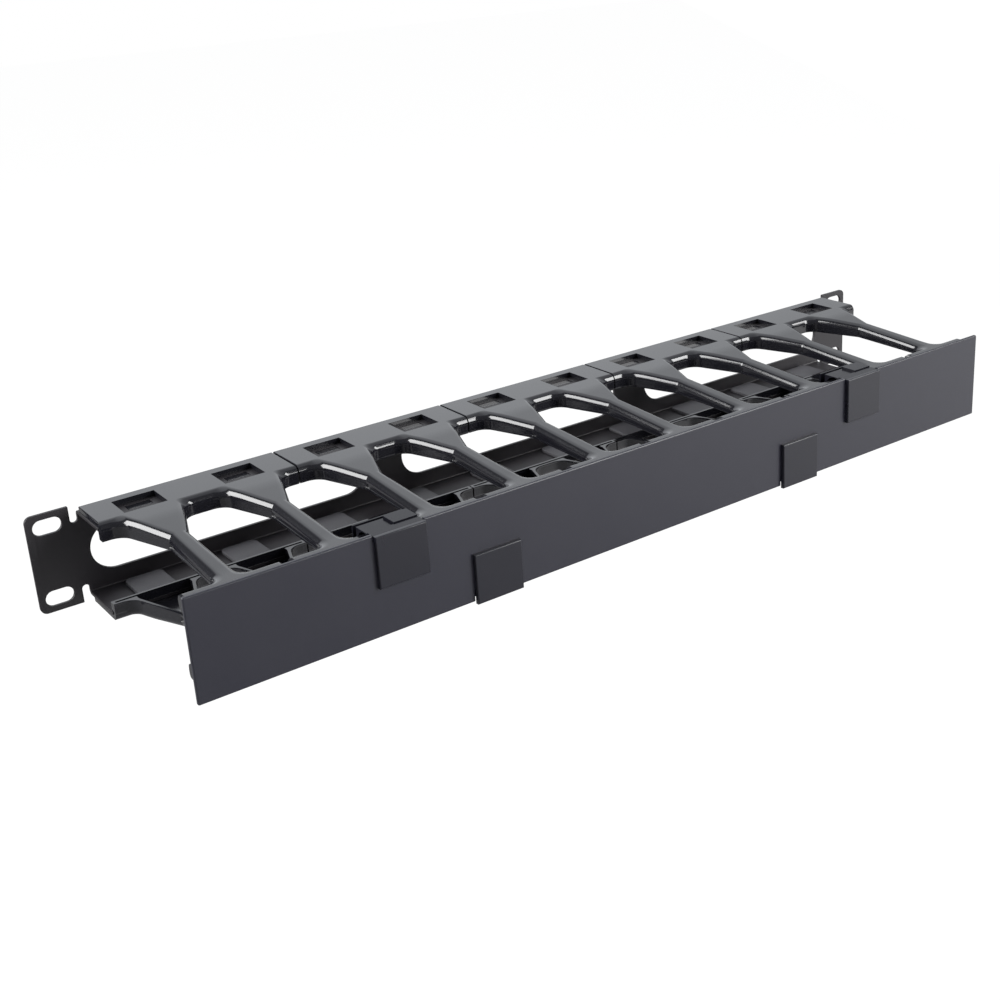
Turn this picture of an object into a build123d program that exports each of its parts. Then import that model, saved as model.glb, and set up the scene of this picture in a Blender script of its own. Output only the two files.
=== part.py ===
from build123d import *
import os

# All lengths are millimetres. X runs along the rack face, Y into the rack, Z up.
# The origin is the middle of the four rack slots, on the front face of the ears.

# rack panel
PANEL_W = 482.6
PANEL_H = 43.7
SHEET = 1.5
EAR_W = 21.3
EAR_CORNER_R = 3.0
SLOT_EDGE = 8.75
SLOT_PITCH_Z = 31.75
SLOT_W = 6.8
SLOT_L = 12.0

# folded channel
FLANGE_CLEAR = 0.3
BEND_R_OUT = 2.2
NOTCH_W = 3.2
NOTCH_DEPTH = 7.65

# cable windows in the back
WINDOWS = 3
WINDOW_H = 21.0
WINDOW_BAR = 20.5
WINDOW_MARGIN = 3.0

# finger modules
MODULES = 5
SEAM = 0.4
PLATE_T = 2.5
PLATE_SETBACK = 1.9
LIP_Y = -27.3
LIP_T = 3.6
LIP_WALL = 2.1
LIP_DROP = 8.0
EDGE_BEVEL = 2.0
WEB_ROOT = 13.5
WEB_L = 26.7
WEB_CORNER_R = 8.0
ARM_ROOT = 4.3
ARM_TIP = 4.8
ARM_CORNER_R = 7.0
SLOPE_BACK = 8.7
SLOPE_FRONT = 4.8
SIDE_WALL = 2.0
WEB_CAP = 1.2
ARM_CAP = 2.0
HEAD_FRONT_Y = -107.9
HEAD_D = 9.1
HEAD_DROP = 3.85
HEAD_H = 7.5
HEAD_GAP = 3.8
HEAD_BEVEL = 1.6
ARM_END_DROP = 5.2

# square core-outs, one over each latch tab
CORE_HALF = 8.8
CORE_EDGE = 5.3
CORE_LIP = 4.7

# latch tabs
TAB_HALF = 8.4
TAB_T = 1.6
TAB_SETBACK = 1.5
TAB_BEVEL = 2.0
NIB_HALF = 5.0
NIB_REAR_Y = -10.6
NIB_L = 4.0
NIB_CLEAR = 0.4

# cover
COVER_OVERHANG = 0.9
COVER_H = 43.6
COVER_T = 2.0
COVER_GAP = 0.9
COVER_DROP = 0.9
NOTCH_DROP = 0.1

# hinge clips
CLIP_W = 23.0
CLIP_T = 2.0
CLIP_H = 22.2
CLIP_TOP_DROP = 0.4
CLIP_LOW_REACH = 0.9
CLIP_CLEAR = 0.3
BORE_CLEAR = 0.3
BODY_GAP = 0.4
BLOCK_RISE = 2.5
BLOCK_REAR = 1.6
STRIP_REAR = 1.7
GROOVE_W = 0.5
STEP_H = 0.5
STEP_X = 0.8
POCKET_REAR = 5.0
REAR_WALL_T = 0.8
REAR_FLOOR_DROP = 0.5
REAR_DROP = 0.9
FOOT_T = 1.6
KEY_CLEAR = 0.35

CHANNEL_HALF = PANEL_W / 2 - EAR_W
SLOT_X = PANEL_W / 2 - SLOT_EDGE
PLATE_Z = PANEL_H / 2
FLANGE_Z = PLATE_Z - PLATE_T
FLANGE_IN = FLANGE_Z - SHEET
FLANGE_FRONT_Y = LIP_Y + LIP_WALL + FLANGE_CLEAR
BEND_R_IN = BEND_R_OUT - SHEET
NOTCH_BOTTOM_Z = PLATE_Z - NOTCH_DEPTH
WINDOW_L = (2 * (CHANNEL_HALF - WINDOW_MARGIN) - (WINDOWS - 1) * WINDOW_BAR) / WINDOWS
MODULE_PITCH = 2 * CHANNEL_HALF / MODULES
FINGER_PITCH = MODULE_PITCH / 2
PLATE_REAR_Y = SHEET - BEND_R_OUT - PLATE_SETBACK
TAB_REAR_Y = SHEET - BEND_R_OUT - TAB_SETBACK
CORE_REAR_Y = PLATE_REAR_Y - CORE_EDGE
CORE_FRONT_Y = LIP_Y + CORE_LIP
LIP_Z = PLATE_Z - LIP_DROP
WEB_TIP_Y = LIP_Y - WEB_L
HEAD_BACK_Y = HEAD_FRONT_Y + HEAD_D
HEAD_TOP_Z = PLATE_Z - HEAD_DROP
HEAD_LOW_Z = HEAD_TOP_Z - HEAD_H
SLOPE_BACK_Y = LIP_Y - SLOPE_BACK
SLOPE_FRONT_Y = HEAD_BACK_Y + SLOPE_FRONT
AXIS_Y = (HEAD_BACK_Y + HEAD_FRONT_Y) / 2
AXIS_Z = HEAD_TOP_Z - HEAD_H / 2
HEAD_REACH = ((HEAD_D / 2) ** 2 + (HEAD_H / 2 - HEAD_BEVEL) ** 2) ** 0.5
BORE_R = HEAD_REACH + BORE_CLEAR
COVER_W = 2 * (CHANNEL_HALF + COVER_OVERHANG)
COVER_BACK_Y = HEAD_FRONT_Y - COVER_GAP
COVER_FRONT_Y = COVER_BACK_Y - COVER_T
COVER_TOP_Z = COVER_H / 2 - COVER_DROP
COVER_LOW_Z = -COVER_H / 2 - COVER_DROP
NOTCH_Z = HEAD_TOP_Z - NOTCH_DROP
BLOCK_TOP_Z = HEAD_TOP_Z + BLOCK_RISE
BLOCK_BACK_Y = HEAD_BACK_Y + BLOCK_REAR
STRIP_BACK_Y = HEAD_FRONT_Y + STRIP_REAR
REAR_WALL_Y = HEAD_BACK_Y + POCKET_REAR
REAR_FLOOR_Z = HEAD_LOW_Z - REAR_FLOOR_DROP
TOP_CLIP_X = 3 * FINGER_PITCH
LOW_CLIP_X = 2 * FINGER_PITCH
HALF = MODULE_PITCH / 2 - SEAM / 2
FINGERS = [-FINGER_PITCH / 2, FINGER_PITCH / 2]


def box(x0, x1, y0, y1, z0, z1):
    shape = Box(x1 - x0, y1 - y0, z1 - z0)
    return Pos((x0 + x1) / 2, (y0 + y1) / 2, (z0 + z1) / 2) * shape


def plan_face(points):
    return Face(Wire.make_polygon([(x, y, 0) for x, y in points], close=True))


def side_face(points):
    return Face(Wire.make_polygon([(0, y, z) for y, z in points], close=True))


def rounded(face, spots):
    """Round the face corners nearest to the given points, each by its own radius."""
    for point, radius in spots:
        nearest = face.vertices().sort_by_distance(Vector(*point))[0]
        face = face.fillet_2d(radius, [nearest])
    return face


def along_x(face, x0, x1):
    return Solid.extrude(Pos(x0, 0, 0) * face, Vector(x1 - x0, 0, 0))


def up_z(face, z0, z1):
    return Solid.extrude(Pos(0, 0, z0) * face, Vector(0, 0, z1 - z0))


def upside_down(shape):
    return mirror(shape, Plane.XY)


def slot_tool(x, z, length, height):
    flat = height / 2
    middle = box(x - length / 2 + flat, x + length / 2 - flat, -1, SHEET + 1, z - flat, z + flat)
    left = Pos(x - length / 2 + flat, SHEET / 2, z) * Rot(90, 0, 0) * Cylinder(flat, SHEET + 2)
    right = Pos(x + length / 2 - flat, SHEET / 2, z) * Rot(90, 0, 0) * Cylinder(flat, SHEET + 2)
    return [middle, left, right]


def nib_x():
    return [(index - MODULES + 0.5) * FINGER_PITCH for index in range(2 * MODULES)]


def build_frame():
    plate = box(-PANEL_W / 2, PANEL_W / 2, 0, SHEET, -PANEL_H / 2, PANEL_H / 2)
    plate = fillet(plate.edges().filter_by(Axis.Y), EAR_CORNER_R)
    fold_z = FLANGE_Z - BEND_R_OUT
    cuts = [box(-CHANNEL_HALF, CHANNEL_HALF, -1, SHEET + 1, fold_z, PANEL_H)]
    toe_z = NOTCH_BOTTOM_Z + NOTCH_W / 2
    for side in (1, -1):
        x = side * (CHANNEL_HALF + NOTCH_W / 2)
        cuts.append(box(x - NOTCH_W / 2, x + NOTCH_W / 2, -1, SHEET + 1, toe_z, PANEL_H))
        cuts.append(Pos(x, SHEET / 2, toe_z) * Rot(90, 0, 0) * Cylinder(NOTCH_W / 2, SHEET + 2))
    cuts += [upside_down(cut) for cut in cuts]
    for cut in cuts:
        plate -= cut
    front = FLANGE_FRONT_Y
    outer = side_face([(front, -FLANGE_Z), (SHEET, -FLANGE_Z), (SHEET, FLANGE_Z), (front, FLANGE_Z)])
    outer = rounded(outer, [((0, SHEET, s * FLANGE_Z), BEND_R_OUT) for s in (1, -1)])
    front -= 5
    inner = side_face([(front, -FLANGE_IN), (0, -FLANGE_IN), (0, FLANGE_IN), (front, FLANGE_IN)])
    inner = rounded(inner, [((0, 0, s * FLANGE_IN), BEND_R_IN) for s in (1, -1)])
    frame = along_x(outer, -CHANNEL_HALF, CHANNEL_HALF)
    frame -= along_x(inner, -CHANNEL_HALF - 1, CHANNEL_HALF + 1)
    frame += plate
    tools = []
    for index in range(WINDOWS):
        x = (index - (WINDOWS - 1) / 2) * (WINDOW_L + WINDOW_BAR)
        tools += slot_tool(x, 0, WINDOW_L, WINDOW_H)
    for sx in (1, -1):
        for sz in (1, -1):
            tools += slot_tool(sx * SLOT_X, sz * SLOT_PITCH_Z / 2, SLOT_L, SLOT_W)
    reach = NIB_HALF + NIB_CLEAR
    y0 = NIB_REAR_Y - NIB_L - NIB_CLEAR
    y1 = NIB_REAR_Y + NIB_CLEAR
    for x in nib_x():
        tool = box(x - reach, x + reach, y0, y1, FLANGE_IN - 1, FLANGE_Z + 1)
        tools += [tool, upside_down(tool)]
    for tool in tools:
        frame -= tool
    return frame


def opening(a, b):
    """Plan of one finger opening between the finger lines x=a and x=b."""
    face = plan_face([
        (a + WEB_ROOT, LIP_Y), (b - WEB_ROOT, LIP_Y), (b - ARM_ROOT, WEB_TIP_Y),
        (b - ARM_TIP, HEAD_BACK_Y), (a + ARM_TIP, HEAD_BACK_Y), (a + ARM_ROOT, WEB_TIP_Y)])
    return rounded(face, [
        ((a + WEB_ROOT, LIP_Y, 0), WEB_CORNER_R), ((b - WEB_ROOT, LIP_Y, 0), WEB_CORNER_R),
        ((b - ARM_TIP, HEAD_BACK_Y, 0), ARM_CORNER_R), ((a + ARM_TIP, HEAD_BACK_Y, 0), ARM_CORNER_R)])


def pocket(x):
    """Plan of the hollow under one finger, a wall's thickness inside its web and arm."""
    back = LIP_Y - WEB_CAP
    front = HEAD_BACK_Y + ARM_CAP
    root = WEB_ROOT - SIDE_WALL
    tip = ARM_ROOT - SIDE_WALL
    end = ARM_TIP - SIDE_WALL
    return plan_face([
        (x - root, back), (x + root, back), (x + tip, WEB_TIP_Y),
        (x + end, front), (x - end, front), (x - tip, WEB_TIP_Y)])


def profile(top_drop, low_rise):
    """Side profile of plate, arm and head, pulled in from the top and from below."""
    rear = PLATE_REAR_Y
    front = HEAD_FRONT_Y
    top = PLATE_Z - top_drop
    head = HEAD_TOP_Z - top_drop
    low = LIP_Z + low_rise
    arm = HEAD_TOP_Z - ARM_END_DROP + low_rise
    toe = HEAD_LOW_Z + low_rise
    return side_face([
        (rear, top), (SLOPE_BACK_Y, top), (SLOPE_FRONT_Y, head), (front, head),
        (front, toe), (HEAD_BACK_Y, toe), (HEAD_BACK_Y, arm), (WEB_TIP_Y, low), (rear, low)])


def upper_chain(shape):
    """Upper edges of lip, webs, arms and heads, which are all moulded with one radius."""
    picked = []
    for edge in shape.edges():
        span = edge.bounding_box()
        flat_x = span.max.X - span.min.X < 0.01
        flat_y = span.max.Y - span.min.Y < 0.01
        level = round(span.min.Y - LIP_Y, 2) == 0 or round(span.min.Y - HEAD_BACK_Y, 2) == 0
        if span.min.Z < HEAD_TOP_Z - 0.1 or span.max.Y > PLATE_REAR_Y - 0.1:
            continue
        if span.min.Y < HEAD_BACK_Y - 1 or (flat_y and not level):
            continue
        if flat_x and span.max.X > HALF - 0.1 or flat_x and span.min.X < 0.1 - HALF:
            continue
        picked.append(edge)
    return picked


def build_module():
    body = along_x(profile(0, 0), -HALF, HALF)
    ends = body.edges().filter_by(Axis.X)
    head_edges = [ends.sort_by_distance((0, y, z))[0] for y, z in (
        (HEAD_FRONT_Y, HEAD_TOP_Z), (HEAD_FRONT_Y, HEAD_LOW_Z), (HEAD_BACK_Y, HEAD_LOW_Z))]
    body = chamfer(head_edges, HEAD_BEVEL)
    for line in (-FINGER_PITCH, 0, FINGER_PITCH):
        body -= up_z(opening(line - FINGER_PITCH / 2, line + FINGER_PITCH / 2), HEAD_LOW_Z - 3, PLATE_Z + 3)
    for x in (-MODULE_PITCH / 2, 0, MODULE_PITCH / 2):
        body -= box(x - HEAD_GAP / 2, x + HEAD_GAP / 2, HEAD_FRONT_Y - 1, WEB_TIP_Y, 0, PLATE_Z + 3)
    body = chamfer(upper_chain(body), EDGE_BEVEL)
    # inside of lip, webs and arms, left open from below
    rear = LIP_Y + LIP_T
    body -= box(-HALF - 1, HALF + 1, rear, PLATE_REAR_Y + 1, 0, FLANGE_Z)
    body -= box(-HALF - 1, HALF + 1, LIP_Y + LIP_WALL, rear + 1, FLANGE_IN, FLANGE_Z)
    roof = along_x(profile(PLATE_T, -10), -HALF, HALF)
    for x in FINGERS:
        body -= up_z(pocket(x), -5, PLATE_Z + 3) & roof
    for x in FINGERS:
        body -= box(x - CORE_HALF, x + CORE_HALF, CORE_FRONT_Y, CORE_REAR_Y, FLANGE_Z - 1, PLATE_Z + 1)
        tab_z = FLANGE_IN - TAB_T
        tab = box(x - TAB_HALF, x + TAB_HALF, rear, TAB_REAR_Y, tab_z, FLANGE_IN)
        tips = tab.edges().filter_by(Axis.Z).sort_by(Axis.Y)[-2:]
        body += chamfer(tips, TAB_BEVEL)
        body += box(x - NIB_HALF, x + NIB_HALF, NIB_REAR_Y - NIB_L, NIB_REAR_Y, FLANGE_IN, FLANGE_Z)
    return body


def build_cover():
    half_w = COVER_W / 2
    cover = box(-half_w, half_w, COVER_FRONT_Y, COVER_BACK_Y, COVER_LOW_Z, COVER_TOP_Z)
    reach = CLIP_W / 2 + CLIP_CLEAR
    for side in (1, -1):
        x = side * TOP_CLIP_X
        cover -= box(x - reach, x + reach, COVER_FRONT_Y - 1, COVER_BACK_Y + 1, NOTCH_Z, COVER_H)
        x = side * LOW_CLIP_X
        low = BODY_GAP - NOTCH_Z
        cover -= box(x - reach, x + reach, COVER_FRONT_Y - 1, COVER_BACK_Y + 1, -COVER_H, low)
    return cover


def build_plate(x, low_z):
    front = COVER_FRONT_Y - CLIP_T
    return box(x - CLIP_W / 2, x + CLIP_W / 2, front, COVER_FRONT_Y, low_z, low_z + CLIP_H)


def build_knuckle(x, front, strip_front, key_clear):
    """Clip body that wraps the ends of two neighbouring heads, open towards the cover."""
    half = CLIP_W / 2
    foot_z = AXIS_Z - BORE_R - FOOT_T
    body = box(-half, half, front, BLOCK_BACK_Y, foot_z, BLOCK_TOP_Z - STEP_H)
    body += box(STEP_X, half, STRIP_BACK_Y + GROOVE_W, BLOCK_BACK_Y, AXIS_Z, BLOCK_TOP_Z + STEP_H)
    body += box(-half, half, strip_front, STRIP_BACK_Y, NOTCH_Z, BLOCK_TOP_Z)
    body += box(-half, half, BLOCK_BACK_Y, REAR_WALL_Y, REAR_FLOOR_Z, REAR_FLOOR_Z + FOOT_T)
    wall_y = REAR_WALL_Y - REAR_WALL_T
    body += box(-half, half, wall_y, REAR_WALL_Y, REAR_FLOOR_Z, BLOCK_TOP_Z - REAR_DROP)
    body += box(half - REAR_WALL_T, half, BLOCK_BACK_Y, wall_y, REAR_FLOOR_Z, BLOCK_TOP_Z - FOOT_T)
    bore = Pos(0, AXIS_Y, AXIS_Z) * Rot(0, 90, 0) * Cylinder(BORE_R, 2 * CLIP_W)
    body -= bore
    mouth = 0.58 * BORE_R
    body -= box(-half - 1, half + 1, front - 1, AXIS_Y - 0.8 * BORE_R, AXIS_Z - mouth, AXIS_Z + mouth)
    body += Pos(0, AXIS_Y, AXIS_Z) * Rot(0, 90, 0) * Cylinder(BORE_R, HEAD_GAP - 2 * key_clear)
    return Pos(x, 0, 0) * body


def finger_name(index):
    return "finger_module_%s_%d" % ("top" if index < MODULES else "low", index % MODULES + 1)


os.makedirs("parts", exist_ok=True)
export_step(build_frame(), "parts/back_frame.step")
module = build_module()
low_module = upside_down(module)
for index in range(2 * MODULES):
    x = (index % MODULES - (MODULES - 1) / 2) * MODULE_PITCH
    shape = module if index < MODULES else low_module
    export_step(Pos(x, 0, 0) * shape, "parts/%s.step" % finger_name(index))
export_step(build_cover(), "parts/front_cover.step")
top_z = COVER_TOP_Z - CLIP_TOP_DROP - CLIP_H
low_z = COVER_LOW_Z - CLIP_LOW_REACH
for side, word in ((-1, "left"), (1, "right")):
    export_step(build_plate(side * TOP_CLIP_X, top_z), "parts/clip_plate_top_%s.step" % word)
    export_step(build_plate(side * LOW_CLIP_X, low_z), "parts/clip_plate_low_%s.step" % word)
    knuckle = build_knuckle(side * TOP_CLIP_X, COVER_BACK_Y, COVER_FRONT_Y, KEY_CLEAR)
    export_step(knuckle, "parts/hinge_clip_top_%s.step" % word)
    knuckle = build_knuckle(side * LOW_CLIP_X, COVER_BACK_Y + BODY_GAP, COVER_FRONT_Y + BODY_GAP, 0)
    export_step(upside_down(knuckle), "parts/hinge_clip_low_%s.step" % word)
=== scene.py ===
import bpy
import bmesh
import math
from mathutils import Matrix, Vector


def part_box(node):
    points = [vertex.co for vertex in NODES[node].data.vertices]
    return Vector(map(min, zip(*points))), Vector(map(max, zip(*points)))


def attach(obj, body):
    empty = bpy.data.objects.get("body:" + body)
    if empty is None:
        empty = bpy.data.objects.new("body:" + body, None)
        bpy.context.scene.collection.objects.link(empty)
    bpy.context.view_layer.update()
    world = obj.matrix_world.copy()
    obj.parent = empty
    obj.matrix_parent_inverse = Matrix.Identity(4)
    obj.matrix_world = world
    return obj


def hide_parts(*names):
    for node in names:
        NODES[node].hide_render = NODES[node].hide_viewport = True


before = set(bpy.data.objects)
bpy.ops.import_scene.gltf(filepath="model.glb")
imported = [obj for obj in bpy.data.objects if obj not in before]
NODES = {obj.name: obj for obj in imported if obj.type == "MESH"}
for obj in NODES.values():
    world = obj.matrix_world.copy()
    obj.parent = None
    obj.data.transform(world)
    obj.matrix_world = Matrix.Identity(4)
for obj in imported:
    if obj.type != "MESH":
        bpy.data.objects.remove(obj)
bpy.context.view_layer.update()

MM = 0.001

# camera measured from the photograph: degrees, metres, and focal length in picture widths
AZIMUTH = -36.116
ELEVATION = 20.168
ROLL = -3.0255
EYE = (-0.376745, -0.553927, 0.243098)
FOCAL = 1.41875
SENSOR = 36.0
SHIFT = (-0.0580, -0.0733)
NEAREST = 0.01
FARTHEST = 100

# studio: headings in degrees from +Y towards +X, heights in degrees above the floor, and 1 is white
WHITE = (1, 1, 1, 1)
COOL_WHITE = (0.93, 0.96, 1.0, 1)
BACKDROP_HEADING = 36
BACKDROP_EDGE = (0.50, 0.70)
BACKDROP_LEVEL = 1.05
BACKDROP_LEFT = -16
BACKDROP_LEFT_BLUR = (-0.06, 0.06)
BACKDROP_RIGHT = 50
BACKDROP_RIGHT_BLUR = (-0.10, 0.30)
RIGHT_SHARE = 0.55
CEILING_MIDDLE = (50, 60)
CEILING_EDGE = (0.72, 0.84)
CEILING_LEVEL = 1.0
SIDE_HEADING = 92
SIDE_EDGE = (0.80, 0.90)
SIDE_LEVEL = 0.7
WALL_LEVEL = 0.18
AMBIENT_LEVEL = 0.36

# floor: metres, and its levels in reflections at the two ends of each reach
FLOOR_Z = -0.30
FLOOR_HALF = 6.0
FLOOR_COLOUR = (0.9, 0.9, 0.9, 1)
FLOOR_SHARE = 0.93
FLOOR_GLOW = 1.04
FLOOR_HEADING = 125
FLOOR_REACH = (0.35, 1.25)
FLOOR_MIRRORED = (0.28, 1.35)
FAR_HEADING = 36
FAR_REACH = (0.9, 2.0)
FAR_MIRRORED = (0.0, 1.0)

# softboxes: name, heading and height of the low and the high end, width in metres, radiance
SOFTBOX_TARGET = (0, -0.05, 0)
SOFTBOX_DISTANCE = 2.5
SOFTBOXES = (
    ("softbox_left", (-66, 6), (-60, 44), 1.4, 11),
    ("softbox_right", (152, 2), (124, 42), 0.85, 12))

# surfaces: tiny grain in height and shade, and a slow change of gloss
GRAIN_DETAIL = 3
GLOSS_SCALE = 38
GLOSS_DETAIL = 4
GLOSS_REACH = (0.3, 0.7)
DARKER = 0.85
LIGHTER = 1.15
GRAIN_HEIGHT = 0.0001

# edges of the pieces: metres and radians
FRAME_EDGE = 0.2 * MM
CLIP_EDGE = 0.32 * MM
PLATE_EDGE = 0.5 * MM
COVER_EDGE = 0.65 * MM
SAME_POINT = 1e-6
SAME_PLANE = 1e-5
ON_CUT = 1e-7
SOFTEN_SEGMENTS = 4
RIM_SEGMENTS = 5
BEVEL_ANGLE = math.radians(40)
SHARP_ANGLE = math.radians(24)
FLAT_ANGLE = math.radians(1)
MODULE_WEIGHT = 100

# moulded finger module, seen in plan: metres
FINGER_X = (-22 * MM, 22 * MM)
MODULE_COUNT = 5
MODULE_PITCH = 88 * MM
HALF = 43.65 * MM
HEAD_HALF = 20.1 * MM
REAR_Y = -2.6 * MM
LIP_Y = -27.3 * MM
WEB_TIP_Y = -54.0 * MM
HEAD_BACK_Y = -98.8 * MM
HEAD_FRONT_Y = -107.9 * MM
WEB_ROOT = 13.5 * MM
ARM_ROOT = 4.3 * MM
ARM_TIP = 4.8 * MM

# radii of its plan corners, each at the wall and at the top face
LEFT_ROOT_FILLETS = (7 * MM, 2 * MM)
RIGHT_ROOT_FILLETS = (6 * MM, 1.5 * MM)
WEB_TIP_FILLETS = (3 * MM, 3 * MM)
ARM_TIP_FILLETS = (7 * MM, 5 * MM)
SQUARE = (0, 0)
ARC_STEP = math.radians(7)
FEWEST_ARC_STEPS = 3
NEARLY_STRAIGHT = 0.3

# radii of its upper edges
EDGE_R = 3.2 * MM
FRONT_R = 2.5 * MM
END_R = 1.5 * MM
SEAM_R = 0.5 * MM

# its heights and its slope
PLATE_Z = 21.85 * MM
UPPER_SIDE_Z = 16.5 * MM
HEAD_DROP = 3.85 * MM
ARM_LOW_DROP = 1.05 * MM
SLOPE_BACK_Y = -36.0 * MM
SLOPE_FRONT_Y = -94.0 * MM
SLOPE_R = 120 * MM

# side groove: depths, the step between them, and how it ends before the head
WEB_GROOVE = 0.05 * MM
ARM_GROOVE = 0.6 * MM
GROOVE_STEP = 0.8 * MM
GROOVE_END = 2 * MM
GROOVE_FADE = 3 * MM

# rings of the module's wall in millimetres: height, and the share of the groove or the inset there
GROOVE_RINGS = ((18.45, 0), (18.3, 0.8), (18.15, 1), (15.35, 1), (15.2, 0.5), (15.05, 0), (14.2, 0))
RIM_RINGS = ((13.95, 0.1), (13.85, 0.35))

# forms cut from the module or joined to it, in millimetres: side outlines are y and z,
# plan outlines are x from the finger's middle and y, and each has its two ends
FLANGE_ROOM = ((-25.2, 19.35), (10, 19.35), (10, 0), (-23.7, 0), (-23.7, 17.85), (-25.2, 17.85))
FLANGE_ROOM_ENDS = (-60, 60)
SLIT = ((-26.1, 0), (-24.8, 0), (-24.8, 17.0), (-26.1, 17.0))
SLIT_ENDS = (-42.4, 42.4)
POCKET_HALF = ((11.6, -24.8), (11.6, -28.6), (2.8, -54), (3.2, -91.5), (4.2, -95.2), (6.0, -97.7))
POCKET_ENDS = (0, 19.35)
CORE_OUT = ((-9.8, -23.1), (8.6, -23.1), (8.6, -7.9), (-9.8, -7.9))
CORE_OUT_ENDS = (10, 30)
TOE_ARCS = ((-105.37, 14.05, 2.5, 180), (-101.03, 13.75, 2.2, 270))
TOE_ARC_STEPS = 6
TOE_TOP = [(-98.83, 17.0), (-107.87, 17.0)]
TOE_ENDS = (-20.07, 20.07)
TROUGH = ((-106.5, 0), (-100.1, 0), (-100.1, 20.2), (-106.5, 20.2))
TROUGH_ENDS = (-18.6, 18.6)

# latch tab in metres, and its rings and nib in millimetres
TAB_HALF = 8.4 * MM
TAB_FRONT_Y = -23.6 * MM
TAB_BACK_Y = -2.2 * MM
TAB_FILLET = 3 * MM
TAB_RINGS = ((17.85, 0.25), (17.75, 0.08), (17.6, 0), (16.5, 0), (16.35, 0.08), (16.25, 0.25))
NIB = ((-5, -14.6), (5, -14.6), (5, -10.6), (-5, -10.6))
NIB_ENDS = (17.5, 19.2)

# where the level module is divided along y, in millimetres, so that its slope can bend
BEND_ROWS = [-31.5 - k for k in range(10)] + [-54, -60, -70, -80] + [-89.5 - k for k in range(10)]


def heading_vector(heading, height):
    """Unit vector at a heading in degrees from +Y towards +X, and a height in degrees above the floor."""
    a = math.radians(heading)
    b = math.radians(height)
    return Vector((math.sin(a) * math.cos(b), math.cos(a) * math.cos(b), math.sin(b)))


def stand(obj, across, up, back, spot):
    """Link an object and place it at a spot, with its own axes along three directions."""
    bpy.context.scene.collection.objects.link(obj)
    rows = [[across[i], up[i], back[i], spot[i]] for i in range(3)] + [[0, 0, 0, 1]]
    obj.matrix_world = Matrix(rows)


def add_camera():
    az = math.radians(AZIMUTH)
    el = math.radians(ELEVATION)
    roll = math.radians(ROLL)
    back = Vector((math.sin(az) * math.cos(el), -math.cos(az) * math.cos(el), math.sin(el)))
    level_right = (-back).cross(Vector((0, 0, 1))).normalized()
    level_up = level_right.cross(-back)
    right = math.cos(roll) * level_right + math.sin(roll) * level_up
    up = -math.sin(roll) * level_right + math.cos(roll) * level_up
    data = bpy.data.cameras.new("camera")
    data.sensor_width = SENSOR
    data.lens = FOCAL * SENSOR
    data.shift_x, data.shift_y = SHIFT
    data.clip_start = NEAREST
    data.clip_end = FARTHEST
    cam = bpy.data.objects.new("camera", data)
    stand(cam, right, up, back, EYE)
    bpy.context.scene.camera = cam


def add_softbox(name, low_end, high_end, width, radiance):
    """Long area light seen from the object between two directions, each a heading and a height."""
    centre = Vector(SOFTBOX_TARGET)
    low = centre + heading_vector(*low_end) * SOFTBOX_DISTANCE
    high = centre + heading_vector(*high_end) * SOFTBOX_DISTANCE
    data = bpy.data.lights.new(name, "AREA")
    data.shape = "RECTANGLE"
    data.size = width
    data.size_y = (high - low).length
    data.energy = radiance * math.pi * data.size * data.size_y
    middle = (low + high) / 2
    back = (middle - centre).normalized()
    along = (high - low).normalized()
    across = along.cross(back).normalized()
    stand(bpy.data.objects.new(name, data), across, along, back, middle)


def feed(tree, value, slot):
    """Give an input a number, or link an output to it."""
    if isinstance(value, (int, float)):
        slot.default_value = value
    else:
        tree.links.new(value, slot)


def combined(tree, operation, first, second):
    made = tree.nodes.new("ShaderNodeMath")
    made.operation = operation
    feed(tree, first, made.inputs[0])
    feed(tree, second, made.inputs[1])
    return made.outputs[0]


def ramp(tree, value, reach, levels, kind="LINEAR"):
    """Change from one level to the other over a reach of the value."""
    made = tree.nodes.new("ShaderNodeMapRange")
    made.interpolation_type = kind
    for name, number in zip(("From Min", "From Max", "To Min", "To Max"), (*reach, *levels)):
        made.inputs[name].default_value = number
    tree.links.new(value, made.inputs["Value"])
    return made.outputs[0]


def along(tree, vector, heading, height=0):
    """Part of a vector that points at a heading and a height."""
    made = tree.nodes.new("ShaderNodeVectorMath")
    made.operation = "DOT_PRODUCT"
    made.inputs[1].default_value = heading_vector(heading, height)
    tree.links.new(vector, made.inputs[0])
    return made.outputs["Value"]


def glowing(tree, kind, colour, strength):
    """Background or emission shader."""
    made = tree.nodes.new(kind)
    made.inputs["Color"].default_value = colour
    feed(tree, strength, made.inputs["Strength"])
    return made.outputs[0]


def mixed(tree, share, first, second):
    """The first shader, with a share of the second in its place."""
    made = tree.nodes.new("ShaderNodeMixShader")
    tree.links.new(share, made.inputs[0])
    tree.links.new(first, made.inputs[1])
    tree.links.new(second, made.inputs[2])
    return made.outputs[0]


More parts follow.
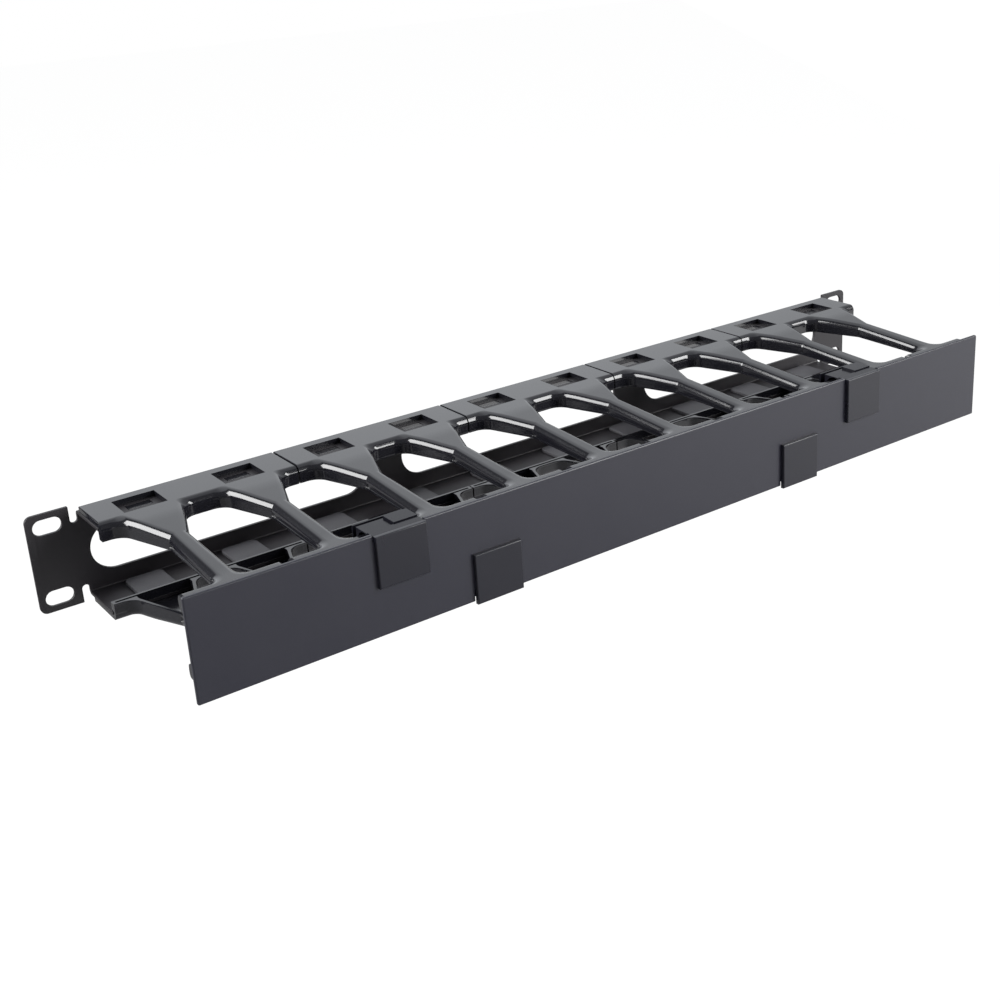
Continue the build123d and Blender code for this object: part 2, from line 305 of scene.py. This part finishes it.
def add_world():
    """Camera sees white. Glossy surfaces see a white backdrop, pale ceiling and side, and dim walls."""
    world = bpy.data.worlds.new("studio")
    bpy.context.scene.world = world
    world.use_nodes = True
    tree = world.node_tree
    tree.nodes.clear()
    out = tree.nodes.new("ShaderNodeOutputWorld")
    path = tree.nodes.new("ShaderNodeLightPath")
    ray = tree.nodes.new("ShaderNodeTexCoord").outputs["Generated"]

    def step(heading, height, edge, levels):
        return ramp(tree, along(tree, ray, heading, height), edge, levels, "SMOOTHSTEP")

    from_left = step(BACKDROP_LEFT + 90, 0, BACKDROP_LEFT_BLUR, (0, 1))
    to_right = step(BACKDROP_RIGHT - 90, 0, BACKDROP_RIGHT_BLUR, (RIGHT_SHARE, 1))
    ahead = step(BACKDROP_HEADING, 0, BACKDROP_EDGE, (0, BACKDROP_LEVEL))
    ceiling = step(*CEILING_MIDDLE, CEILING_EDGE, (0, CEILING_LEVEL))
    side = step(SIDE_HEADING, 0, SIDE_EDGE, (0, SIDE_LEVEL))
    backdrop = combined(tree, "MULTIPLY", from_left, ahead)
    bright = combined(tree, "MULTIPLY", combined(tree, "MAXIMUM", backdrop, ceiling), to_right)
    level = combined(tree, "ADD", combined(tree, "MAXIMUM", bright, side), WALL_LEVEL)
    mirrored = glowing(tree, "ShaderNodeBackground", COOL_WHITE, level)
    ambient = glowing(tree, "ShaderNodeBackground", COOL_WHITE, AMBIENT_LEVEL)
    white = glowing(tree, "ShaderNodeBackground", WHITE, 1.0)
    shiny = combined(tree, "MAXIMUM", path.outputs["Is Glossy Ray"], path.outputs["Is Transmission Ray"])
    around = mixed(tree, shiny, ambient, mirrored)
    tree.links.new(mixed(tree, path.outputs["Is Camera Ray"], around, white), out.inputs["Surface"])


def add_floor():
    """Pale floor that keeps the object's shadow; it is white to the camera and falls off in reflections."""
    mesh = bpy.data.meshes.new("floor")
    corners = [(u * FLOOR_HALF, v * FLOOR_HALF, FLOOR_Z) for u, v in ((-1, -1), (1, -1), (1, 1), (-1, 1))]
    mesh.from_pydata(corners, [], [(0, 1, 2, 3)])
    floor = bpy.data.objects.new("floor", mesh)
    bpy.context.scene.collection.objects.link(floor)
    mat = bpy.data.materials.new("floor")
    mat.use_nodes = True
    tree = mat.node_tree
    tree.nodes.clear()
    out = tree.nodes.new("ShaderNodeOutputMaterial")
    diffuse = tree.nodes.new("ShaderNodeBsdfDiffuse")
    diffuse.inputs["Color"].default_value = FLOOR_COLOUR
    path = tree.nodes.new("ShaderNodeLightPath")
    place = tree.nodes.new("ShaderNodeNewGeometry").outputs["Position"]
    right = ramp(tree, along(tree, place, FLOOR_HEADING), FLOOR_REACH, FLOOR_MIRRORED)
    far = ramp(tree, along(tree, place, FAR_HEADING), FAR_REACH, FAR_MIRRORED)
    seen = combined(tree, "MAXIMUM", path.outputs["Is Camera Ray"], path.outputs["Is Transmission Ray"])
    either = combined(tree, "MAXIMUM", seen, path.outputs["Is Glossy Ray"])
    direct = combined(tree, "MULTIPLY", seen, FLOOR_GLOW)
    strength = combined(tree, "MAXIMUM", direct, combined(tree, "MAXIMUM", right, far))
    glow = glowing(tree, "ShaderNodeEmission", WHITE, strength)
    share = combined(tree, "MULTIPLY", either, FLOOR_SHARE)
    tree.links.new(mixed(tree, share, diffuse.outputs[0], glow), out.inputs["Surface"])
    mesh.materials.append(mat)


def noise(tree, coord, scale, detail):
    made = tree.nodes.new("ShaderNodeTexNoise")
    made.inputs["Scale"].default_value = scale
    made.inputs["Detail"].default_value = detail
    tree.links.new(coord, made.inputs["Vector"])
    return made.outputs[0]


def moulded(name, colour, roughness, ior, grain, bump, spread):
    """Procedural moulded or coated surface: tiny grain in height and shade, slow change of gloss."""
    mat = bpy.data.materials.new(name)
    mat.use_nodes = True
    tree = mat.node_tree
    link = tree.links.new
    shader = tree.nodes["Principled BSDF"]
    shader.inputs["IOR"].default_value = ior
    coord = tree.nodes.new("ShaderNodeTexCoord").outputs["Object"]
    fine = noise(tree, coord, grain, GRAIN_DETAIL)
    wide = noise(tree, coord, GLOSS_SCALE, GLOSS_DETAIL)
    gloss = ramp(tree, wide, GLOSS_REACH, (roughness - spread, roughness + spread))
    link(gloss, shader.inputs["Roughness"])
    shade = tree.nodes.new("ShaderNodeMix")
    shade.data_type = "RGBA"
    shade.inputs["A"].default_value = tuple(c * DARKER for c in colour) + (1,)
    shade.inputs["B"].default_value = tuple(c * LIGHTER for c in colour) + (1,)
    link(fine, shade.inputs["Factor"])
    link(shade.outputs["Result"], shader.inputs["Base Color"])
    lift = tree.nodes.new("ShaderNodeBump")
    lift.inputs["Strength"].default_value = bump
    lift.inputs["Distance"].default_value = GRAIN_HEIGHT
    link(fine, lift.inputs["Height"])
    link(lift.outputs[0], shader.inputs["Normal"])
    return mat


def paint(obj, mat):
    if obj.material_slots:
        for slot in obj.material_slots:
            slot.material = mat
    else:
        obj.data.materials.append(mat)


def weigh_normals(obj):
    """Shading that follows the large faces and keeps the sharp edges."""
    weigh = obj.modifiers.new("weigh", "WEIGHTED_NORMAL")
    weigh.keep_sharp = True
    return weigh


def soften(obj, width):
    """Tiny rounded edges, as coated or moulded edges have; only modifiers are added."""
    weld = obj.modifiers.new("weld", "WELD")
    weld.merge_threshold = SAME_POINT
    bevel = obj.modifiers.new("bevel", "BEVEL")
    bevel.width = width
    bevel.segments = SOFTEN_SEGMENTS
    bevel.limit_method = "ANGLE"
    bevel.angle_limit = BEVEL_ANGLE
    weigh_normals(obj)


def shade_smooth(made):
    """Smooth faces, with the edges above the sharp angle kept sharp."""
    for edge in made.edges:
        if len(edge.link_faces) == 2 and edge.calc_face_angle(0) > SHARP_ANGLE:
            edge.smooth = False
    for face in made.faces:
        face.smooth = True


def as_object(made, name):
    bmesh.ops.recalc_face_normals(made, faces=made.faces)
    mesh = bpy.data.meshes.new(name)
    made.to_mesh(mesh)
    made.free()
    obj = bpy.data.objects.new(name, mesh)
    bpy.context.scene.collection.objects.link(obj)
    return obj


def rounded_copy(part, width, wanted):
    """The form of a solid with only its wanted edges rounded, for the piece that stands for it."""
    low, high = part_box(part.name)
    made = bmesh.new()
    made.from_mesh(part.data)
    made.transform(part.matrix_world)
    bmesh.ops.remove_doubles(made, verts=made.verts, dist=SAME_POINT)
    bmesh.ops.dissolve_limit(made, angle_limit=FLAT_ANGLE, verts=made.verts, edges=made.edges)
    chosen = [edge for edge in made.edges if wanted(edge.verts[0].co, edge.verts[1].co, low, high)]
    bmesh.ops.bevel(
        made, geom=chosen, offset=width, offset_type="OFFSET", segments=RIM_SEGMENTS, profile=0.5,
        affect="EDGES")
    shade_smooth(made)
    obj = as_object(made, "rounded_" + part.name)
    weigh_normals(obj)
    return obj


def near(a, b):
    return abs(a - b) < SAME_PLANE


def on_cover_rim(a, b, low, high):
    """Edges along the cover's top, bottom and ends, but none of its notches."""
    for limit in (low, high):
        if near(a.x, limit[0]) and near(b.x, limit[0]):
            return True
        if near(a.z, limit[2]) and near(b.z, limit[2]) and abs(a.x - b.x) > MM:
            return True
    return False


def on_front(a, b, low, high):
    return near(a.y, low[1]) and near(b.y, low[1])


def rounded_outline(corners):
    """Corner points with fillet radii and edge radii -> points, each with the radius of the edge after it."""
    out = []
    count = len(corners)
    for i, (x, y, fillet, edge_r) in enumerate(corners):
        here = Vector((x, y))
        if fillet == 0:
            out.append((here, edge_r))
            continue
        before = (Vector(corners[i - 1][:2]) - here).normalized()
        after = (Vector(corners[(i + 1) % count][:2]) - here).normalized()
        half = before.angle(after) / 2
        centre = here + (before + after).normalized() * (fillet / math.sin(half))
        start = here + before * (fillet / math.tan(half)) - centre
        end = here + after * (fillet / math.tan(half)) - centre
        a0 = math.atan2(start.y, start.x)
        turn = (math.atan2(end.y, end.x) - a0 + math.pi) % (2 * math.pi) - math.pi
        steps = max(FEWEST_ARC_STEPS, round(abs(turn) / ARC_STEP))
        for k in range(steps + 1):
            a = a0 + turn * k / steps
            out.append((centre + Vector((math.cos(a), math.sin(a))) * fillet, edge_r))
    return out


def inner_normals(before, here, after):
    """Unit normals, to the inner side, of the two edges that meet at a corner."""
    d1 = (here - before).normalized()
    d2 = (after - here).normalized()
    return Vector((-d1.y, d1.x)), Vector((-d2.y, d2.x))


def mitre(n1, n2, e1, e2):
    """Shift of a corner whose two edges move by their own distances along their normals."""
    cross = n1.x * n2.y - n1.y * n2.x
    return (e1 * n2.y - e2 * n1.y) / cross, (n1.x * e2 - n2.x * e1) / cross


def inset_at(radius, drop):
    """How far a rounded upper edge has drawn in at a given drop below the top."""
    if drop >= radius:
        return 0.0
    return radius - math.sqrt(max(0.0, radius ** 2 - (radius - drop) ** 2))


def inset_ring(outline, z, reach):
    """Outline drawn in, each edge by its own distance; nearly straight corners take the mean."""
    ring = []
    count = len(outline)
    for i, (point, edge_r) in enumerate(outline):
        last, last_r = outline[i - 1]
        n1, n2 = inner_normals(last, point, outline[(i + 1) % count][0])
        e1 = reach(last_r, point)
        e2 = reach(edge_r, point)
        if abs(n1.x * n2.y - n1.y * n2.x) < NEARLY_STRAIGHT:
            middle = (n1 + n2).normalized()
            shift = middle * ((e1 + e2) / 2 / middle.dot(n1))
        else:
            shift = Vector(mitre(n1, n2, e1, e2))
        ring.append((point.x + shift.x, point.y + shift.y, z))
    return ring


def module_corners():
    """Plan corners: x, y, fillet at the wall, fillet at the top face, radius of the edge after it."""
    corners = [(-HALF, LIP_Y, *SQUARE, EDGE_R)]
    for x in FINGER_X:
        corners += [
            (x - WEB_ROOT, LIP_Y, *LEFT_ROOT_FILLETS, EDGE_R),
            (x - ARM_ROOT, WEB_TIP_Y, *WEB_TIP_FILLETS, EDGE_R),
            (x - ARM_TIP, HEAD_BACK_Y, *ARM_TIP_FILLETS, EDGE_R),
            (x - HEAD_HALF, HEAD_BACK_Y, *SQUARE, END_R),
            (x - HEAD_HALF, HEAD_FRONT_Y, *SQUARE, FRONT_R),
            (x + HEAD_HALF, HEAD_FRONT_Y, *SQUARE, END_R),
            (x + HEAD_HALF, HEAD_BACK_Y, *SQUARE, EDGE_R),
            (x + ARM_TIP, HEAD_BACK_Y, *ARM_TIP_FILLETS, EDGE_R),
            (x + ARM_ROOT, WEB_TIP_Y, *WEB_TIP_FILLETS, EDGE_R),
            (x + WEB_ROOT, LIP_Y, *RIGHT_ROOT_FILLETS, EDGE_R)]
    return corners + [(x, y, *SQUARE, SEAM_R) for x, y in ((HALF, LIP_Y), (HALF, REAR_Y), (-HALF, REAR_Y))]


def module_outline(drop):
    """Outline at a drop below the top face: straight edges drawn in by their radii, corners filleted anew."""
    corners = module_corners()
    points = [Vector(corner[:2]) for corner in corners]
    share = inset_at(EDGE_R, drop) / EDGE_R
    moved = []
    for i, (x, y, fillet, top_fillet, edge_r) in enumerate(corners):
        n1, n2 = inner_normals(points[i - 1], points[i], points[(i + 1) % len(points)])
        dx, dy = mitre(n1, n2, inset_at(corners[i - 1][4], drop), inset_at(edge_r, drop))
        moved.append((x + dx, y + dy, fillet + (top_fillet - fillet) * share, edge_r))
    return rounded_outline(moved)


def clamped(value):
    return min(1.0, max(0.0, value))


def groove_at(edge_r, point):
    """The side groove is shallow along lip and webs, deeper along the arms, and fades before the head."""
    if edge_r != EDGE_R:
        return 0.0
    along_arm = clamped((WEB_TIP_Y + GROOVE_STEP / 2 - point.y) / GROOVE_STEP)
    before_head = clamped((point.y - HEAD_BACK_Y - GROOVE_END) / GROOVE_FADE)
    return (WEB_GROOVE + (ARM_GROOVE - WEB_GROOVE) * along_arm) * before_head


def bridged(rings):
    """Closed mesh from stacked rings with the same number of points."""
    made = bmesh.new()
    rows = [[made.verts.new(p) for p in ring] for ring in rings]
    count = len(rows[0])
    for upper, lower in zip(rows, rows[1:]):
        for i in range(count):
            j = (i + 1) % count
            made.faces.new((upper[i], lower[i], lower[j], upper[j]))
    made.faces.new(rows[0])
    made.faces.new(list(reversed(rows[-1])))
    return made


def side_prism(points, ends, middle=0):
    """Closed prism along x of an outline of y and z, all in millimetres."""
    low, high = ends
    return bridged([[((middle + w) * MM, y * MM, z * MM) for y, z in points] for w in (high, low)])


def plan_prism(points, ends, middle):
    """Closed prism along z of an outline of x and y, all in millimetres."""
    low, high = ends
    return bridged([[((middle + x) * MM, y * MM, w * MM) for x, y in points] for w in (high, low)])


def worked(obj, name):
    """The object's mesh with its modifiers applied; the helper object goes."""
    graph = bpy.context.evaluated_depsgraph_get()
    mesh = bpy.data.meshes.new_from_object(obj.evaluated_get(graph))
    mesh.name = name
    bpy.data.objects.remove(obj)
    return mesh


def slope_shift(y):
    """Fall of the upper surface from the plate down to the heads, with blended ends."""
    angle = math.atan2(HEAD_DROP, SLOPE_BACK_Y - SLOPE_FRONT_Y)
    reach = SLOPE_R * math.tan(angle / 2)
    if y >= SLOPE_BACK_Y + reach:
        return 0.0
    if y <= SLOPE_FRONT_Y - reach:
        return -HEAD_DROP
    if y > SLOPE_BACK_Y - reach * math.cos(angle):
        run = SLOPE_BACK_Y + reach - y
        return math.sqrt(SLOPE_R ** 2 - run ** 2) - SLOPE_R
    if y < SLOPE_FRONT_Y + reach * math.cos(angle):
        run = y - SLOPE_FRONT_Y + reach
        return SLOPE_R - math.sqrt(SLOPE_R ** 2 - run ** 2) - HEAD_DROP
    return (y - SLOPE_BACK_Y) * math.tan(angle)


def latch_tab(x):
    """Spring tab under the flange."""
    outline = rounded_outline([
        (x - TAB_HALF, TAB_FRONT_Y, 0, 0), (x + TAB_HALF, TAB_FRONT_Y, 0, 0),
        (x + TAB_HALF, TAB_BACK_Y, TAB_FILLET, 0), (x - TAB_HALF, TAB_BACK_Y, TAB_FILLET, 0)])
    return bridged([inset_ring(outline, z * MM, lambda r, p, e=inset: e * MM) for z, inset in TAB_RINGS])


def toe_outline():
    """Side outline of the round toe under a head."""
    toe = []
    for y, z, r, first in TOE_ARCS:
        for k in range(TOE_ARC_STEPS + 1):
            t = math.radians(first + 90 / TOE_ARC_STEPS * k)
            toe.append((y + r * math.cos(t), z + r * math.sin(t)))
    return toe + TOE_TOP


def module_body():
    """The module's outer form, still level and solid."""
    rings = []
    for turn in range(90, -1, -10):
        drop = EDGE_R * (1 - math.sin(math.radians(turn)))
        rings.append([(point.x, point.y, PLATE_Z - drop) for point, edge_r in module_outline(drop)])
    outline = module_outline(EDGE_R)
    for z, share in GROOVE_RINGS:
        rings.append(inset_ring(outline, z * MM, lambda r, p, s=share: groove_at(r, p) * s))
    for z, inset in RIM_RINGS:
        rings.append(inset_ring(outline, z * MM, lambda r, p, e=inset: e * MM if r == EDGE_R else 0))
    return as_object(bridged(rings), "module")


def module_forms():
    """Closed forms to cut from the module's body or to join to it, in their order."""
    yield side_prism(FLANGE_ROOM, FLANGE_ROOM_ENDS), "DIFFERENCE"
    yield side_prism(SLIT, SLIT_ENDS), "DIFFERENCE"
    pocket = POCKET_HALF + tuple((-x, y) for x, y in reversed(POCKET_HALF))
    for x in FINGER_X:
        middle = x / MM
        yield plan_prism(pocket, POCKET_ENDS, middle), "DIFFERENCE"
        yield plan_prism(CORE_OUT, CORE_OUT_ENDS, middle), "DIFFERENCE"
        yield side_prism(toe_outline(), TOE_ENDS, middle), "UNION"
        yield side_prism(TROUGH, TROUGH_ENDS, middle), "DIFFERENCE"


def carved(body):
    """The body's mesh after all the forms; the helper objects go."""
    tools = []
    for form, operation in module_forms():
        tools.append(as_object(form, "tool"))
        mod = body.modifiers.new(operation, "BOOLEAN")
        mod.operation = operation
        mod.solver = "EXACT"
        mod.object = tools[-1]
    mesh = worked(body, "module_raw")
    for tool in tools:
        bpy.data.objects.remove(tool)
    return mesh


def bend(made):
    """Let the upper side fall towards the heads, and the lower side a little."""
    for y in BEND_ROWS:
        every = list(made.verts) + list(made.edges) + list(made.faces)
        bmesh.ops.bisect_plane(made, geom=every, dist=ON_CUT, plane_co=(0, y * MM, 0), plane_no=(0, 1, 0))
    for vert in made.verts:
        y = vert.co.y
        if vert.co.z > UPPER_SIDE_Z:
            vert.co.z += slope_shift(y)
        else:
            vert.co.z -= ARM_LOW_DROP * clamped((WEB_TIP_Y - y) / (WEB_TIP_Y - HEAD_BACK_Y))
    bmesh.ops.remove_doubles(made, verts=made.verts, dist=2 * SAME_POINT)


def add_tabs(made):
    """The latch tabs in the second material, each with the small nib that snaps into the flange."""
    for x in FINGER_X:
        for extra, index in ((latch_tab(x), 1), (plan_prism(NIB, NIB_ENDS, x / MM), 0)):
            for face in extra.faces:
                face.material_index = index
            bmesh.ops.recalc_face_normals(extra, faces=extra.faces)
            spare = bpy.data.meshes.new("spare")
            extra.to_mesh(spare)
            extra.free()
            made.from_mesh(spare)
            bpy.data.meshes.remove(spare)


def module_mesh(upside_down):
    mesh = carved(module_body())
    made = bmesh.new()
    made.from_mesh(mesh)
    bpy.data.meshes.remove(mesh)
    bend(made)
    add_tabs(made)
    if upside_down:
        for vert in made.verts:
            vert.co.z = -vert.co.z
        bmesh.ops.reverse_faces(made, faces=made.faces)
    shade_smooth(made)
    obj = as_object(made, "module")
    weigh_normals(obj).weight = MODULE_WEIGHT
    return worked(obj, "finger_module")


add_camera()
add_world()
add_floor()
for softbox in SOFTBOXES:
    add_softbox(*softbox)

# name, colour, roughness, IOR, grain per metre, bump, spread of the roughness
STEEL = moulded("powder_coated_steel", (0.018, 0.016, 0.019), 0.46, 1.45, 2600, 0.25, 0.04)
FINGER = moulded("glossy_moulding", (0.009, 0.009, 0.012), 0.13, 1.6, 1500, 0.03, 0.02)
TAB = moulded("matt_latch_tab", (0.075, 0.074, 0.082), 0.50, 1.5, 2200, 0.10, 0.03)
COVER = moulded("satin_cover", (0.018, 0.018, 0.027), 0.34, 1.5, 2200, 0.12, 0.03)
PLATE = moulded("satin_clip_plate", (0.009, 0.009, 0.015), 0.30, 1.5, 2200, 0.10, 0.03)
CLIP = moulded("clip_moulding", (0.009, 0.009, 0.013), 0.20, 1.24, 1800, 0.06, 0.03)

for name, part in NODES.items():
    piece = None
    if name == "back_frame":
        paint(part, STEEL)
        soften(part, FRAME_EDGE)
    elif name.startswith("hinge_clip"):
        paint(part, CLIP)
        soften(part, CLIP_EDGE)
    elif name.startswith("clip_plate"):
        piece = rounded_copy(part, PLATE_EDGE, on_front)
        paint(piece, PLATE)
    elif name == "front_cover":
        piece = rounded_copy(part, COVER_EDGE, on_cover_rim)
        paint(piece, COVER)
    if piece:
        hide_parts(name)
        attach(piece, "door")

for level, upside_down in (("top", False), ("low", True)):
    mesh = module_mesh(upside_down)
    mesh.materials.append(FINGER)
    mesh.materials.append(TAB)
    for index in range(MODULE_COUNT):
        cad_name = "finger_module_%s_%d" % (level, index + 1)
        piece = bpy.data.objects.new("moulded_module_%s_%d" % (level, index + 1), mesh)
        bpy.context.scene.collection.objects.link(piece)
        piece.location = ((index - (MODULE_COUNT - 1) / 2) * MODULE_PITCH, 0, 0)
        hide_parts(cad_name)
        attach(piece, "manager")

bpy.context.scene.view_settings.view_transform = "Standard"
